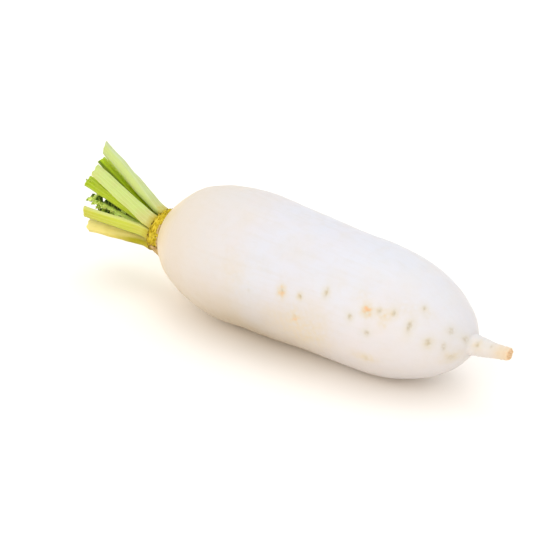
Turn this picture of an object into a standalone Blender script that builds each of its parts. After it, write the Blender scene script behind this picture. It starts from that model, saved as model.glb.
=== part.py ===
"""Daikon radish as lifted and trimmed, lying on its side.

One thick white root with its broken tail, the short scarred crown on its blunt end, and the cut leaf stalks
and crumpled young leaves that grow from the crown. Metres, +Z up. The root's long axis runs near +X, tail end
at +X and crown at -X, and its underside rests on z = 0 at the origin.

Every piece is built upright in the root's own frame and hangs from one empty that lays them all down
together: there +Z points out of the crown along the root's axis, +X becomes up and -Y stays the near side.
"""

import math

import bmesh
import bpy
import numpy as np
from mathutils import Matrix, Vector

MM = 0.001
TAU = 2 * math.pi

# The root: a turned profile, its depth measured from the flat seat of the crown towards the tail
SHOULDER_RADIUS = 44 * MM
HIP_RADIUS = 35 * MM
SEAT_RADIUS = 13.8 * MM
BODY_LENGTH = 227 * MM
SHOULDER_LENGTH = 70 * MM
SHOULDER_POWER = 1.95
TAPER_POWER = 1.6
HIP_LENGTH = 68.6 * MM
HIP_POWER = 2.25
TAIL_LENGTH = 25 * MM
TAIL_RADIUS = 6.3 * MM
TAIL_END_RADIUS = 3.6 * MM
TAIL_FLARE = 1.7
TAIL_EDGE = 1.0 * MM
TAIL_FILLET = 8 * MM
ROOT_SIDES = 48
BODY_STATIONS = 44
TAIL_STATIONS = 9

# How the grown root departs from a turned one
FLATTENING = 0.012
LOBE = 0.008
BOW = 1.6 * MM
TAIL_LIFT = 3.9 * MM
SEAT_DROP = 3.6 * MM
DROP_LENGTH = 26 * MM

# How the root lies: tipped nose down until its underside is level, and settled by the depth of its flat
REST_TILT = math.radians(2.3)
FLAT_DEPTH = 0.35 * MM

# The crown: a squat ringed stem with the scars of fallen leaves wound round it, its top leaning upwards
CROWN_RADIUS = 14.3 * MM
CROWN_HEIGHT = 10.0 * MM
CROWN_LEAN = math.radians(12)
CROWN_RING_PITCH = 2.4 * MM
CROWN_RING_DEPTH = 0.35 * MM
CROWN_EDGE = 0.9 * MM
SCAR_HEIGHT = 0.45 * MM
SCARS_ROUND = 7
CROWN_SIDES = 56
CROWN_STATIONS = 13
GAP = 0.3 * MM

# The stalks and young leaves share a bend: each leaves the crown square to its top, then turns to its own way
BEND_SHARE = 0.22
OPEN_SHARE = 0.45
STALK_SIDES = 20
STALK_STATIONS = 11
BASE_BOXINESS = 3.2
TIP_BOXINESS = 2.3

OUTER_SEAT = 10.7 * MM
OUTER_BASE_DEPTH = 5.2 * MM
INNER_SEAT = 4.6 * MM
INNER_BASE_DEPTH = 3.8 * MM

# Name, bearing of the foot round the crown (degrees from up, towards the near side), rise and swing (slopes
# against the crown's own axis, up and to the near side), then in mm the length, the widths at foot, middle
# and tip and the thickness clear of the crown, and last in degrees the twist by the tip, to the near side,
# and the slants of the cut through the thickness and across the width
OUTER_STALKS = [
    ("leaf_stalk_1", -17, 0.42, 0.06, 60.5, 9.6, 11.4, 10.8, 8.4, 34, -34, 0),
    ("leaf_stalk_2", 46, 0.28, 0.08, 54.5, 9.6, 9.0, 8.4, 5.8, 0, 14, 10),
    ("leaf_stalk_3", 94, -0.12, 0.25, 49, 7.4, 8.8, 8.4, 5.8, -14, 14, 0),
    ("leaf_stalk_4", 151, -0.262, 0.17, 49.5, 9.0, 9.0, 8.6, 9.0, -20, 10, 0),
    ("leaf_stalk_5", 207, -0.28, -0.08, 47, 9.6, 9.0, 8.0, 5.2, 0, 14, 8),
    ("leaf_stalk_6", 268, 0.02, -0.27, 55, 9.8, 9.4, 8.4, 5.2, 0, 14, -12),
]
INNER_STALKS = [
    ("inner_stalk_1", 71, 0.135, 0.12, 59, 4.4, 5.8, 8.4, 3.8, 0, 14, -8),
    ("inner_stalk_2", -12, 0.32, 0.00, 61, 4.8, 7.8, 9.0, 3.8, 0, 14, 12),
]

# Name, bearing, rise and swing as above, then in mm the length and half the blade's width, and the twist
YOUNG_LEAVES = [
    ("young_leaf_1", 135, -0.03, 0.09, 56, 4.8, -50),
    ("young_leaf_2", 194, -0.16, 0.01, 56, 4.8, -60),
    ("young_leaf_3", 250, 0.06, -0.08, 53, 4.6, 0),
]

# Young leaves: a slim rib with a waved, lobed blade on both sides
LEAF_STATIONS = 34
LEAF_CELLS = 8
RIB_WIDTH = 3.0 * MM
RIB_DEPTH = 2.4 * MM
BLADE_DEPTH = 1.0 * MM
BLADE_START = 0.42
LOBES = 6
WAVES = 8.5
WAVE_HEIGHT = 1.5 * MM
LEAF_FOLD = 0.55


def smooth_step(x):
    """0 below 0, 1 above 1, and a smooth rise between."""
    x = np.clip(x, 0.0, 1.0)
    return x * x * (3 - 2 * x)


def smooth_larger(a, b, width):
    """The larger of two profiles, rounded into a fillet where they come within width of each other."""
    share = np.clip(0.5 + 0.5 * (a - b) / width, 0.0, 1.0)
    return b + (a - b) * share + width * share * (1 - share)


def root_radius(depth):
    """Radius of the turned root at a depth below the crown's seat.

    A superellipse shoulder starts at the seat's radius, the body tapers, a second superellipse closes the hip
    and the flared tail takes over through a fillet.
    """
    power = SHOULDER_POWER
    hidden = SHOULDER_LENGTH * (1 - (1 - (SEAT_RADIUS / SHOULDER_RADIUS) ** power) ** (1 / power))
    along = (depth + hidden) / (BODY_LENGTH + hidden)
    taper = SHOULDER_RADIUS + (HIP_RADIUS - SHOULDER_RADIUS) * np.clip(along, 0, 1) ** TAPER_POWER
    shoulder = (1 - np.clip(1 - (depth + hidden) / SHOULDER_LENGTH, 0, 1) ** power) ** (1 / power)
    closing = 1 - np.clip((depth - BODY_LENGTH + HIP_LENGTH) / HIP_LENGTH, 0, None) ** HIP_POWER
    body = taper * shoulder * np.sign(closing) * np.sqrt(np.abs(closing))
    down_tail = np.clip((depth - BODY_LENGTH) / TAIL_LENGTH, 0, 1)
    tail = TAIL_END_RADIUS + (TAIL_RADIUS - TAIL_END_RADIUS) * (1 - down_tail) ** TAIL_FLARE
    return np.where(depth < BODY_LENGTH / 2, body, smooth_larger(body, tail, TAIL_FILLET))


def root_depths():
    """Depths of the root's rings, closest at the shoulder and the hip, where the profile turns most."""
    body = BODY_LENGTH * (1 - np.cos(np.pi * np.linspace(0, 1, BODY_STATIONS))) / 2
    tail = BODY_LENGTH + (TAIL_LENGTH - TAIL_EDGE) * np.linspace(0, 1, TAIL_STATIONS + 1)[1:]
    return np.concatenate([body, tail])


def resting_place():
    """Depth of the ring the root rests on, its sideways bow there, and the seat's height above the ground."""
    depth = np.linspace(0, BODY_LENGTH, 2001)
    reach = depth * math.sin(REST_TILT) + (1 - FLATTENING) * root_radius(depth) * math.cos(REST_TILT)
    lowest = int(np.argmax(reach))
    share = float(depth[lowest]) / BODY_LENGTH
    return float(depth[lowest]), 4 * BOW * share * (1 - share), float(reach[lowest]) - FLAT_DEPTH


def collection(name):
    made = bpy.data.collections.new(name)
    bpy.context.scene.collection.children.link(made)
    return made


def material(name, colour, roughness):
    made = bpy.data.materials.new(name)
    made.use_nodes = True
    shader = made.node_tree.nodes["Principled BSDF"]
    shader.inputs["Base Color"].default_value = (*colour, 1.0)
    shader.inputs["Roughness"].default_value = roughness
    shader.inputs["Metallic"].default_value = 0.0
    return made


def piece(name, mesh, look, into, parent):
    """A named object for one sub-part, smooth but for its cut edges, hung from the laying-down empty."""
    obj = bpy.data.objects.new(name, mesh)
    into.objects.link(obj)
    obj.parent = parent
    mesh.materials.clear()
    mesh.materials.append(look)
    mesh.shade_smooth()
    mesh.set_sharp_from_angle(angle=math.radians(40))
    return obj


def turned_mesh(name, profile, sides, into):
    """The mesh of an open profile of (radius, height) points turned about Z by a Screw."""
    outline = bpy.data.meshes.new(name)
    outline.from_pydata(
        [(radius, 0.0, height) for radius, height in profile],
        [(i, i + 1) for i in range(len(profile) - 1)],
        [],
    )
    blank = bpy.data.objects.new(name + "_profile", outline)
    into.objects.link(blank)
    screw = blank.modifiers.new("Turn", "SCREW")
    screw.axis = "Z"
    screw.angle = TAU
    screw.steps = screw.render_steps = sides
    screw.use_merge_vertices = True
    screw.merge_threshold = 0.01 * MM
    graph = bpy.context.evaluated_depsgraph_get()
    mesh = bpy.data.meshes.new_from_object(blank.evaluated_get(graph))
    bpy.data.objects.remove(blank)
    bpy.data.meshes.remove(outline)
    mesh.name = name
    return mesh


def points_of(mesh):
    points = np.empty(len(mesh.vertices) * 3)
    mesh.vertices.foreach_get("co", points)
    return points.reshape(-1, 3)


def set_points(mesh, points):
    mesh.vertices.foreach_set("co", points.ravel())
    mesh.update()


def grown(points):
    """A turned root made to look grown: lobed, bowed sideways, its seat dropped and its tail lifted."""
    depth = -points[:, 2]
    bearing = np.arctan2(points[:, 1], points[:, 0])
    share = np.clip(depth / BODY_LENGTH, 0, 1)
    on_body = smooth_step(depth / SHOULDER_LENGTH) * (1 - smooth_step((share - 0.8) / 0.2))
    swell = 1 + on_body * (
        LOBE * np.cos(3 * bearing + 1.2 + 2.4 * share) - FLATTENING * np.cos(2 * bearing)
    )
    down_tail = np.clip((depth - BODY_LENGTH + TAIL_LENGTH) / (2 * TAIL_LENGTH), 0, 1)
    drop = SEAT_DROP * (1 - smooth_step(depth / DROP_LENGTH))
    made = points.copy()
    made[:, 0] = points[:, 0] * swell + TAIL_LIFT * down_tail**2 - drop
    made[:, 1] = points[:, 1] * swell + 4 * BOW * share * (1 - share)
    return made


def make_root(into, cutters, look, parent):
    """The white root with its tail, and a small flat ground off where it rests."""
    depths = root_depths()
    profile = [(0.0, 0.0)]
    profile += [(float(root_radius(d)), -float(d)) for d in depths]
    end = -(BODY_LENGTH + TAIL_LENGTH)
    profile += [(TAIL_END_RADIUS - TAIL_EDGE, end), (0.0, end)]
    mesh = turned_mesh("root", profile, ROOT_SIDES, into)
    set_points(mesh, grown(points_of(mesh)))
    root = piece("root", mesh, look, into, parent)

    bpy.ops.mesh.primitive_cube_add(size=1.0)
    ground = bpy.context.active_object
    ground.name = "ground_cutter"
    thickness = 20 * MM
    ground.scale = (2 * BODY_LENGTH, 3 * SHOULDER_RADIUS, thickness)
    ground.location = (0.0, 0.0, -thickness / 2)
    ground.hide_render = True
    ground.display_type = "WIRE"
    for home in list(ground.users_collection):
        home.objects.unlink(ground)
    cutters.objects.link(ground)
    flat = root.modifiers.new("Resting flat", "BOOLEAN")
    flat.operation = "DIFFERENCE"
    flat.object = ground
    return root


def make_crown(into, look, parent):
    """The crown: stacked rings with a slanting row of leaf scars, its top left flat for the stalks."""
    heights = np.linspace(CROWN_EDGE / 3, CROWN_HEIGHT - CROWN_EDGE / 3, CROWN_STATIONS)
    rings = CROWN_RING_DEPTH * np.cos(TAU * heights / CROWN_RING_PITCH)
    edges = CROWN_EDGE * (
        (1 - smooth_step(heights / CROWN_EDGE)) + smooth_step(1 - (CROWN_HEIGHT - heights) / CROWN_EDGE)
    )
    radii = CROWN_RADIUS + rings - edges
    inset = 1.6 * CROWN_EDGE
    profile = [(0.0, CROWN_HEIGHT), (CROWN_RADIUS - inset, CROWN_HEIGHT)]
    profile += [(float(r), float(h)) for r, h in zip(radii[::-1], heights[::-1])]
    profile += [(CROWN_RADIUS - inset, 0.0), (0.0, 0.0)]
    mesh = turned_mesh("crown", profile, CROWN_SIDES, into)
    points = points_of(mesh)
    bearing = np.arctan2(points[:, 1], points[:, 0])
    reach = np.hypot(points[:, 0], points[:, 1])
    on_side = smooth_step((reach - CROWN_RADIUS + 2 * CROWN_EDGE) / CROWN_EDGE)
    slant = SCARS_ROUND * bearing + TAU * points[:, 2] / CROWN_HEIGHT
    swell = 1 + on_side * SCAR_HEIGHT * np.maximum(0, np.cos(slant)) ** 2 / CROWN_RADIUS
    points[:, 0] *= swell
    points[:, 1] *= swell
    points[:, 2] -= points[:, 0] * math.tan(CROWN_LEAN) * points[:, 2] / CROWN_HEIGHT
    set_points(mesh, points)
    crown = piece("crown", mesh, look, into, parent)
    crown.location = (-SEAT_DROP, 0.0, GAP)
    return crown


def bent_frames(path, length, shares):
    """Points of a stalk's middle line, each with its (side, outward, forward) directions.

    The path is (bearing, seat radius, rise, swing). The line starts on the crown's top, square to it, and
    turns smoothly to (rise up, swing to the near side, 1 forward) over the first BEND_SHARE of its length.
    """
    bearing, seat, rise, swing = path
    lean = Matrix.Rotation(CROWN_LEAN, 3, "Y")
    crown_top = Matrix.Translation((-SEAT_DROP, 0.0, GAP + CROWN_HEIGHT)) @ lean.to_4x4()
    outward = Vector((math.cos(bearing), -math.sin(bearing), 0.0))
    forward = Vector((0.0, 0.0, 1.0))
    target = Vector((rise, -swing, 1.0)).normalized()
    hinge = forward.cross(target)
    full_turn = forward.angle(target)
    place = outward * seat + forward * GAP
    frames = []
    steps = 8
    for i, share in enumerate(shares):
        if i:
            for k in range(steps):
                here = shares[i - 1] + (share - shares[i - 1]) * (k + 0.5) / steps
                turn = full_turn * float(smooth_step(here / BEND_SHARE))
                heading = Matrix.Rotation(turn, 3, hinge) @ forward
                place = place + heading * (length * (share - shares[i - 1]) / steps)
        turn = Matrix.Rotation(full_turn * float(smooth_step(share / BEND_SHARE)), 3, hinge)
        turn = lean @ turn
        frames.append((crown_top @ place, turn @ outward.cross(forward), turn @ outward, turn @ forward))
    return frames


def stalk_section(width, depth, curl, boxiness):
    """A closed (side, outward) outline: a superellipse wrapped round the curl radius, hollow inside."""
    angle = TAU * np.arange(STALK_SIDES) / STALK_SIDES
    across = width / 2 * np.sign(np.cos(angle)) * np.abs(np.cos(angle)) ** (2 / boxiness)
    out = depth / 2 * np.sign(np.sin(angle)) * np.abs(np.sin(angle)) ** (2 / boxiness)
    return (curl + out) * np.sin(across / curl), (curl + out) * np.cos(across / curl) - curl


def stalk_mesh(name, path, base_depth, sizes, twist, slants):
    """A cut leaf stalk: curled sections lofted along its bent middle line, ending in a slanted cut."""
    length, foot, middle, tip, thick = sizes
    slope_out, slope_across = (math.tan(slant) for slant in slants)
    shares = np.linspace(0, 1, STALK_STATIONS) ** 1.25
    frames = bent_frames(path, length, shares)
    seat = path[1]
    bm = bmesh.new()
    loops = []
    for share, (place, side, outward, forward) in zip(shares, frames):
        opening = float(smooth_step(share / OPEN_SHARE))
        width = foot + (middle - foot) * opening + (tip - middle) * float(smooth_step((share - 0.5) / 0.5))
        depth = (base_depth + (thick - base_depth) * opening) * (1 - 0.1 * share)
        curl = seat + (1.1 * middle - seat) * opening if seat < OUTER_SEAT else seat
        boxiness = BASE_BOXINESS + (TIP_BOXINESS - BASE_BOXINESS) * opening
        at_cut = float(smooth_step((share - 0.8) / 0.2))
        roll = Matrix.Rotation(twist * float(smooth_step(share / 0.7)), 3, forward)
        side = roll @ side
        outward = roll @ outward
        loop = []
        for across, out in zip(*stalk_section(width, depth, curl, boxiness)):
            back = at_cut * (out * slope_out + across * slope_across)
            loop.append(bm.verts.new(place + side * across + outward * out - forward * back))
        loops.append(loop)
    for lower, upper in zip(loops, loops[1:]):
        for k in range(STALK_SIDES):
            after = (k + 1) % STALK_SIDES
            bm.faces.new((lower[k], lower[after], upper[after], upper[k]))
    bm.faces.new(list(reversed(loops[0])))
    bm.faces.new(loops[-1])
    return finished(name, bm)


def finished(name, bm):
    """The mesh of a closed bmesh, split into triangles, with its faces pointing outwards."""
    bmesh.ops.recalc_face_normals(bm, faces=bm.faces)
    bmesh.ops.triangulate(bm, faces=[face for face in bm.faces if len(face.verts) > 3])
    mesh = bpy.data.meshes.new(name)
    bm.to_mesh(mesh)
    bm.free()
    return mesh


def leaf_mesh(name, path, length, half_width, twist):
    """A crumpled young leaf cut off with the stalks: a waved, lobed blade with a rib down its middle.

    Both faces are one grid, held apart by the depth, which swells to the rib's depth in the middle.
    """
    shares = np.linspace(0, 1, LEAF_STATIONS)
    frames = bent_frames(path, length, shares)
    across = np.linspace(-1, 1, LEAF_CELLS + 1)
    bm = bmesh.new()
    faces = ([], [])
    for share, (place, side, outward, forward) in zip(shares, frames):
        blade = float(smooth_step((share - BLADE_START) / 0.25))
        lobes = 0.2 + 0.8 * abs(math.sin(math.pi * LOBES * share)) ** 0.8
        reach = RIB_WIDTH / 2 + blade * lobes * (half_width - RIB_WIDTH / 2)
        roll = Matrix.Rotation(twist * float(smooth_step(share / 0.5)), 3, forward)
        side = roll @ side
        outward = roll @ outward
        for which in (0, 1):
            row = []
            for v in across:
                edge = abs(v) * blade
                beat = WAVES if v > 0 else 1.13 * WAVES
                wave = WAVE_HEIGHT * edge**1.5 * math.sin(TAU * beat * share + v)
                fold = -LEAF_FOLD * reach * edge**2
                from_rib = v * reach / (RIB_WIDTH / 2)
                depth = BLADE_DEPTH + (RIB_DEPTH - BLADE_DEPTH) * math.exp(-(from_rib**2))
                out = wave + fold + (0.5 if which else -0.5) * depth
                row.append(bm.verts.new(place + side * (v * reach) + outward * out))
            faces[which].append(row)
    for which, rows in enumerate(faces):
        for lower, upper in zip(rows, rows[1:]):
            for k in range(LEAF_CELLS):
                bm.faces.new((lower[k], lower[k + 1], upper[k + 1]))
                bm.faces.new((lower[k], upper[k + 1], upper[k]))
    inner, outer = faces
    for k in (0, LEAF_CELLS):
        for i in range(LEAF_STATIONS - 1):
            bm.faces.new((inner[i][k], inner[i + 1][k], outer[i + 1][k], outer[i][k]))
    for i in (0, LEAF_STATIONS - 1):
        for k in range(LEAF_CELLS):
            bm.faces.new((inner[i][k], inner[i][k + 1], outer[i][k + 1], outer[i][k]))
    return finished(name, bm)


def main():
    for obj in list(bpy.data.objects):
        bpy.data.objects.remove(obj)
    body = collection("daikon_radish")
    cutters = collection("cutters")

    skin = material("root_skin", (0.86, 0.83, 0.78), 0.38)
    crown_look = material("crown_rind", (0.62, 0.52, 0.10), 0.6)
    stalk_look = material("stalk_green", (0.60, 0.72, 0.22), 0.42)
    inner_look = material("inner_stalk_green", (0.38, 0.58, 0.08), 0.42)
    leaf_look = material("young_leaf_green", (0.05, 0.20, 0.02), 0.5)

    rest_depth, bow, seat_height = resting_place()
    axis = bpy.data.objects.new("root_axis", None)
    body.objects.link(axis)
    lay_down = Matrix.Rotation(-math.pi / 2 + REST_TILT, 4, "Y")
    seat = lay_down @ Vector((0.0, 0.0, rest_depth))
    axis.location = (seat.x, -bow, seat_height)
    axis.rotation_euler = lay_down.to_euler()

    make_root(body, cutters, skin, axis)
    make_crown(body, crown_look, axis)
    for ring, look, seat_radius, depth in (
        (OUTER_STALKS, stalk_look, OUTER_SEAT, OUTER_BASE_DEPTH),
        (INNER_STALKS, inner_look, INNER_SEAT, INNER_BASE_DEPTH),
    ):
        for name, bearing, rise, swing, *sizes, twist, slant_out, slant_across in ring:
            path = (math.radians(bearing), seat_radius, rise, swing)
            slants = (math.radians(slant_out), math.radians(slant_across))
            mesh = stalk_mesh(name, path, depth, [size * MM for size in sizes], math.radians(twist), slants)
            piece(name, mesh, look, body, axis)
    for name, bearing, rise, swing, length, half_width, twist in YOUNG_LEAVES:
        path = (math.radians(bearing), INNER_SEAT, rise, swing)
        mesh = leaf_mesh(name, path, length * MM, half_width * MM, math.radians(twist))
        piece(name, mesh, leaf_look, body, axis)


main()
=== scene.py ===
import math

import bpy
import numpy as np
from mathutils import Matrix, Vector


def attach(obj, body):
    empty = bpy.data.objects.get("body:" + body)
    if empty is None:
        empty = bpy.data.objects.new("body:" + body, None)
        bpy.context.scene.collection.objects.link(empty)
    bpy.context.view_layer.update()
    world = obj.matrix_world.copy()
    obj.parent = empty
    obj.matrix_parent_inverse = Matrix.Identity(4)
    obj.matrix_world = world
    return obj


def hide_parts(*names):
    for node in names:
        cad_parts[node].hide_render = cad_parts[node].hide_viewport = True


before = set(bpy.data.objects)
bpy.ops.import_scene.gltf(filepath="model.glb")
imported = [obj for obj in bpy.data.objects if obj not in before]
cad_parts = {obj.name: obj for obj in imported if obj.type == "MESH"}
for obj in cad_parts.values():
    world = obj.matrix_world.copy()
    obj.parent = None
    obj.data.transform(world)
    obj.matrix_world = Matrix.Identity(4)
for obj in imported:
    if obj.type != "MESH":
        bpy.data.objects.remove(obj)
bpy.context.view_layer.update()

# Daikon radish, dressed. Each surface is a closed tube of rings worked out with numpy in the root's own axes,
# where +X is up, -Y the near side and +Z runs out of the crown, and is then laid down on the ground.

MM = 0.001
TAU = 2 * math.pi

# The root, as in the part's source
SHOULDER_RADIUS = 44 * MM
HIP_RADIUS = 35 * MM
SEAT_RADIUS = 13.8 * MM
BODY_LENGTH = 227 * MM
SHOULDER_LENGTH = 70 * MM
SHOULDER_POWER = 1.95
TAPER_POWER = 1.6
HIP_LENGTH = 68.6 * MM
HIP_POWER = 2.25
TAIL_LENGTH = 25 * MM
TAIL_RADIUS = 6.3 * MM
TAIL_END_RADIUS = 3.6 * MM
TAIL_FLARE = 1.7
TAIL_EDGE = 1.0 * MM
TAIL_FILLET = 8 * MM
FLATTENING = 0.012
LOBE = 0.008
BOW = 1.6 * MM
TAIL_LIFT = 3.9 * MM
SEAT_DROP = 3.6 * MM
DROP_LENGTH = 26 * MM
REST_TILT = math.radians(2.3)
SEAT_PLACE = np.array([-109.099, -1.5977, 44.6345]) * MM

# The crown, as in the part's source
CROWN_RADIUS = 14.3 * MM
CROWN_HEIGHT = 10.0 * MM
CROWN_LEAN = math.radians(12)
CROWN_RING_PITCH = 2.4 * MM
CROWN_RING_DEPTH = 0.35 * MM
CROWN_EDGE = 0.9 * MM
SCAR_HEIGHT = 0.45 * MM
SCARS_ROUND = 7
GAP = 0.3 * MM

# The stalks and young leaves, as in the part's source
BEND_SHARE = 0.22
OPEN_SHARE = 0.45
BASE_BOXINESS = 3.2
TIP_BOXINESS = 2.3
OUTER_SEAT = 10.7 * MM
OUTER_BASE_DEPTH = 5.2 * MM
INNER_SEAT = 4.6 * MM
INNER_BASE_DEPTH = 3.8 * MM

# Bearing in degrees, rise and swing, then in mm the length, the widths at foot, middle and tip and the
# thickness, then in degrees the twist and the slants of the cut out and across
STALKS = {
    "leaf_stalk_1": (-17, 0.42, 0.06, 60.5, 9.6, 11.4, 10.8, 8.4, 34, -34, 0),
    "leaf_stalk_2": (46, 0.28, 0.08, 54.5, 9.6, 9.0, 8.4, 5.8, 0, 14, 10),
    "leaf_stalk_3": (94, -0.12, 0.25, 49, 7.4, 8.8, 8.4, 5.8, -14, 14, 0),
    "leaf_stalk_4": (151, -0.262, 0.17, 49.5, 9.0, 9.0, 8.6, 9.0, -20, 10, 0),
    "leaf_stalk_5": (207, -0.28, -0.08, 47, 9.6, 9.0, 8.0, 5.2, 0, 14, 8),
    "leaf_stalk_6": (268, 0.02, -0.27, 55, 9.8, 9.4, 8.4, 5.2, 0, 14, -12),
    "inner_stalk_1": (71, 0.135, 0.12, 59, 4.4, 5.8, 8.4, 3.8, 0, 14, -8),
    "inner_stalk_2": (-12, 0.32, 0.00, 61, 4.8, 7.8, 9.0, 3.8, 0, 14, 12),
}

# Bearing in degrees, rise and swing, in mm the length and half the blade's width, and the twist in degrees
YOUNG_LEAVES = {
    "young_leaf_1": (135, -0.03, 0.09, 56, 4.8, -50),
    "young_leaf_2": (194, -0.16, 0.01, 56, 4.8, -60),
    "young_leaf_3": (250, 0.06, -0.08, 53, 4.6, 0),
}
RIB_WIDTH = 3.0 * MM
RIB_DEPTH = 2.4 * MM
BLADE_START = 0.42
LOBES = 6
WAVES = 8.5
WAVE_HEIGHT = 1.5 * MM
LEAF_FOLD = 0.55

# How far the crown and the stalks are sunk, so that no gap shows at their feet
CROWN_SINK = 0.5 * MM
STALK_SINK = 0.8 * MM

# Half the thickness of the flakes, the flap and the leaflets, and the whole of a young leaf's blade
FLAKE_SKIN = 0.13 * MM
FLAP_SKIN = 0.2 * MM
LEAFLET_SKIN = 0.22 * MM
BLADE_THICKNESS = 0.45 * MM

# The papery flap's bearing, and its reach up the crown and down the shoulder
FLAP_BEARING = math.radians(136)
FLAP_HEIGHT = 8.0 * MM
FLAP_DEPTH = 3.4 * MM

# Below this height the root's skin is painted darker and warmer, as painted shade and warm bounce light
PAINTED_SHADE_HEIGHT = 56 * MM

# The photograph's view, with the distance in metres and the lens in mm
VIEW_DOWN = math.radians(26)
VIEW_ROUND = math.radians(38.7)
VIEW_DISTANCE = 1.0
VIEW_LENS = 106.96
SENSOR_WIDTH = 36
FLOOR_REACH = 4.0

# Scars of side roots: depth below the crown in mm, bearing from up to the near side in degrees, then in mm
# the reach round the root, the reach along it and the dent
SCARS = [
    (119, 74, 1.5, 1.0, 0.32), (132, 72, 1.3, 0.9, 0.50), (148, 61, 2.1, 0.9, 0.45),
    (167, 73, 1.4, 1.0, 0.55), (176, 63, 1.9, 1.3, 0.20), (183, 59, 1.2, 0.9, 0.42),
    (191, 56, 1.5, 0.8, 0.42), (179, 82, 1.3, 1.2, 0.42), (201, 63, 2.3, 1.0, 0.55),
    (204, 37, 1.2, 0.7, 0.36), (212, 76, 2.0, 1.1, 0.45), (219, 80, 2.0, 0.8, 0.30),
    (220, 46, 1.7, 1.1, 0.32), (226, 48, 1.4, 0.9, 0.30), (233, 54, 1.6, 1.0, 0.32),
    (130, 91, 1.4, 1.0, 0.12), (178, 110, 1.6, 1.1, 0.20), (222, 108, 1.8, 1.2, 0.20),
    (96, 84, 1.2, 0.6, 0.12), (241, 36, 1.2, 0.7, 0.20),
]

# Stains in the skin, and at 134 mm and bearing 103 a broad patch of painted warm shade low on the near side:
# depth, bearing, reach round and along in mm, and strength
BLUSHES_AND_SHADE = [
    (176, 63, 3.4, 3.2, 1.0), (119, 74, 3.8, 3.0, 0.8), (187, 65, 5.2, 2.8, 0.45), (132, 72, 1.8, 1.8, 0.4),
    (130, 91, 4.6, 3.0, 0.28), (178, 110, 3.4, 7.5, 0.42), (222, 108, 4.6, 4.6, 0.34),
    # The entry at 134 mm and bearing 103 is painted warm shade, not a stain
    (183, 60, 2.4, 2.6, 0.3), (134, 103, 15, 20, 0.42), (84, 76, 16, 16, 0.12),
    (206, 40, 3.0, 4.6, 0.2), (233, 56, 3.4, 3.2, 0.3), (247, 40, 5.0, 3.0, 0.3), (148, 61, 3.6, 2.4, 0.2),
    (191, 57, 3.0, 3.0, 0.3), (212, 77, 3.4, 2.6, 0.25), (170, 52, 6.0, 6.0, 0.16), (196, 48, 5.0, 8.0, 0.14),
]


def smooth_step(x):
    """0 below 0, 1 above 1, and a smooth rise between."""
    x = np.clip(x, 0.0, 1.0)
    return x * x * (3 - 2 * x)


def smooth_larger(a, b, width):
    """The larger of two profiles, rounded into a fillet where they come within width of each other."""
    share = np.clip(0.5 + 0.5 * (a - b) / width, 0.0, 1.0)
    return b + (a - b) * share + width * share * (1 - share)


def unit(vectors):
    """Vectors divided by their lengths."""
    return vectors / np.maximum(np.linalg.norm(vectors, axis=-1, keepdims=True), 1e-12)


def turned(vectors, axis, angle):
    """Vectors turned about a unit axis: v cos a + (axis x v) sin a + axis (axis . v)(1 - cos a)."""
    angle = np.asarray(angle)[..., None]
    along = np.sum(axis * vectors, axis=-1, keepdims=True)
    swept = np.cross(axis, vectors) * np.sin(angle)
    return vectors * np.cos(angle) + swept + axis * along * (1 - np.cos(angle))


def once_round(sides):
    """The angles of a ring's points, as a row."""
    return np.linspace(0, TAU, sides, endpoint=False)[None, :]


def boxed(wave, power):
    """A sine or cosine made squarer by a power below 1: its sign times its size to that power."""
    return np.sign(wave) * np.abs(wave) ** power


def sheet(rows, sides, power=0.4):
    """A tube pressed into a sheet: 0 to 1 along it, -1 to 1 across it and 1 to -1 through it."""
    angle = once_round(sides)
    return np.linspace(0, 1, rows)[:, None], np.cos(angle), boxed(np.sin(angle), power)


def mottle(places, pitch, seed, waves=24):
    """Smooth unevenness of about unit size: plane waves near a pitch in mm, summed in seeded directions."""
    rng = np.random.default_rng(seed)
    ways = unit(rng.normal(size=(waves, places.shape[-1])))
    ways *= TAU / (pitch * MM) * rng.uniform(0.7, 1.3, (waves, 1))
    phases = rng.uniform(0, TAU, waves)
    return np.sin(places @ ways.T + phases).sum(axis=-1) * math.sqrt(2 / waves)


def laid(points):
    """Points in the root's own axes laid down: x up, y across and z out of the crown, tipped by the tilt."""
    up = np.array([math.sin(REST_TILT), 0, math.cos(REST_TILT)])
    across = np.array([0.0, 1.0, 0.0])
    ahead = np.array([-math.cos(REST_TILT), 0, math.sin(REST_TILT)])
    return SEAT_PLACE + points[..., :1] * up + points[..., 1:2] * across + points[..., 2:] * ahead


def on_crown(points):
    """Points given from the middle of the crown's top, carried there and leant with it about Y."""
    cos, sin = math.cos(CROWN_LEAN), math.sin(CROWN_LEAN)
    x, y, z = np.moveaxis(points, -1, 0)
    leant = np.stack([x * cos + z * sin, y, z * cos - x * sin], axis=-1)
    return leant + np.array([-SEAT_DROP, 0, GAP + CROWN_HEIGHT])


def skin_directions(rings):
    """Outward unit normals of a grid of rings: the cross product of its steps round and along."""
    along = np.gradient(rings, axis=0)
    around = np.roll(rings, -1, axis=1) - np.roll(rings, 1, axis=1)
    normals = unit(np.cross(around, along))
    outward = rings - rings.mean(axis=1, keepdims=True)
    return normals if np.sum(normals * outward) > 0 else -normals


def tube_faces(rows, sides, first):
    """Quads between the rings of a tube, and a fan of triangles to a pole vertex at each of its ends."""
    ring = np.arange(sides)
    after = (ring + 1) % sides
    low = first + np.arange(rows - 1)[:, None] * sides
    corners = [low + ring, low + after, low + sides + after, low + sides + ring]
    quads = np.stack(corners, axis=-1).reshape(-1, 4)
    poles = first + rows * sides
    last = first + (rows - 1) * sides
    start = np.stack([np.full(sides, poles), first + after, first + ring], axis=-1)
    end = np.stack([np.full(sides, poles + 1), last + ring, last + after], axis=-1)
    return quads, np.concatenate([start, end])


def added(name, data):
    """A new object of some data, in the scene."""
    made = bpy.data.objects.new(name, data)
    bpy.context.scene.collection.objects.link(made)
    return made


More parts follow.
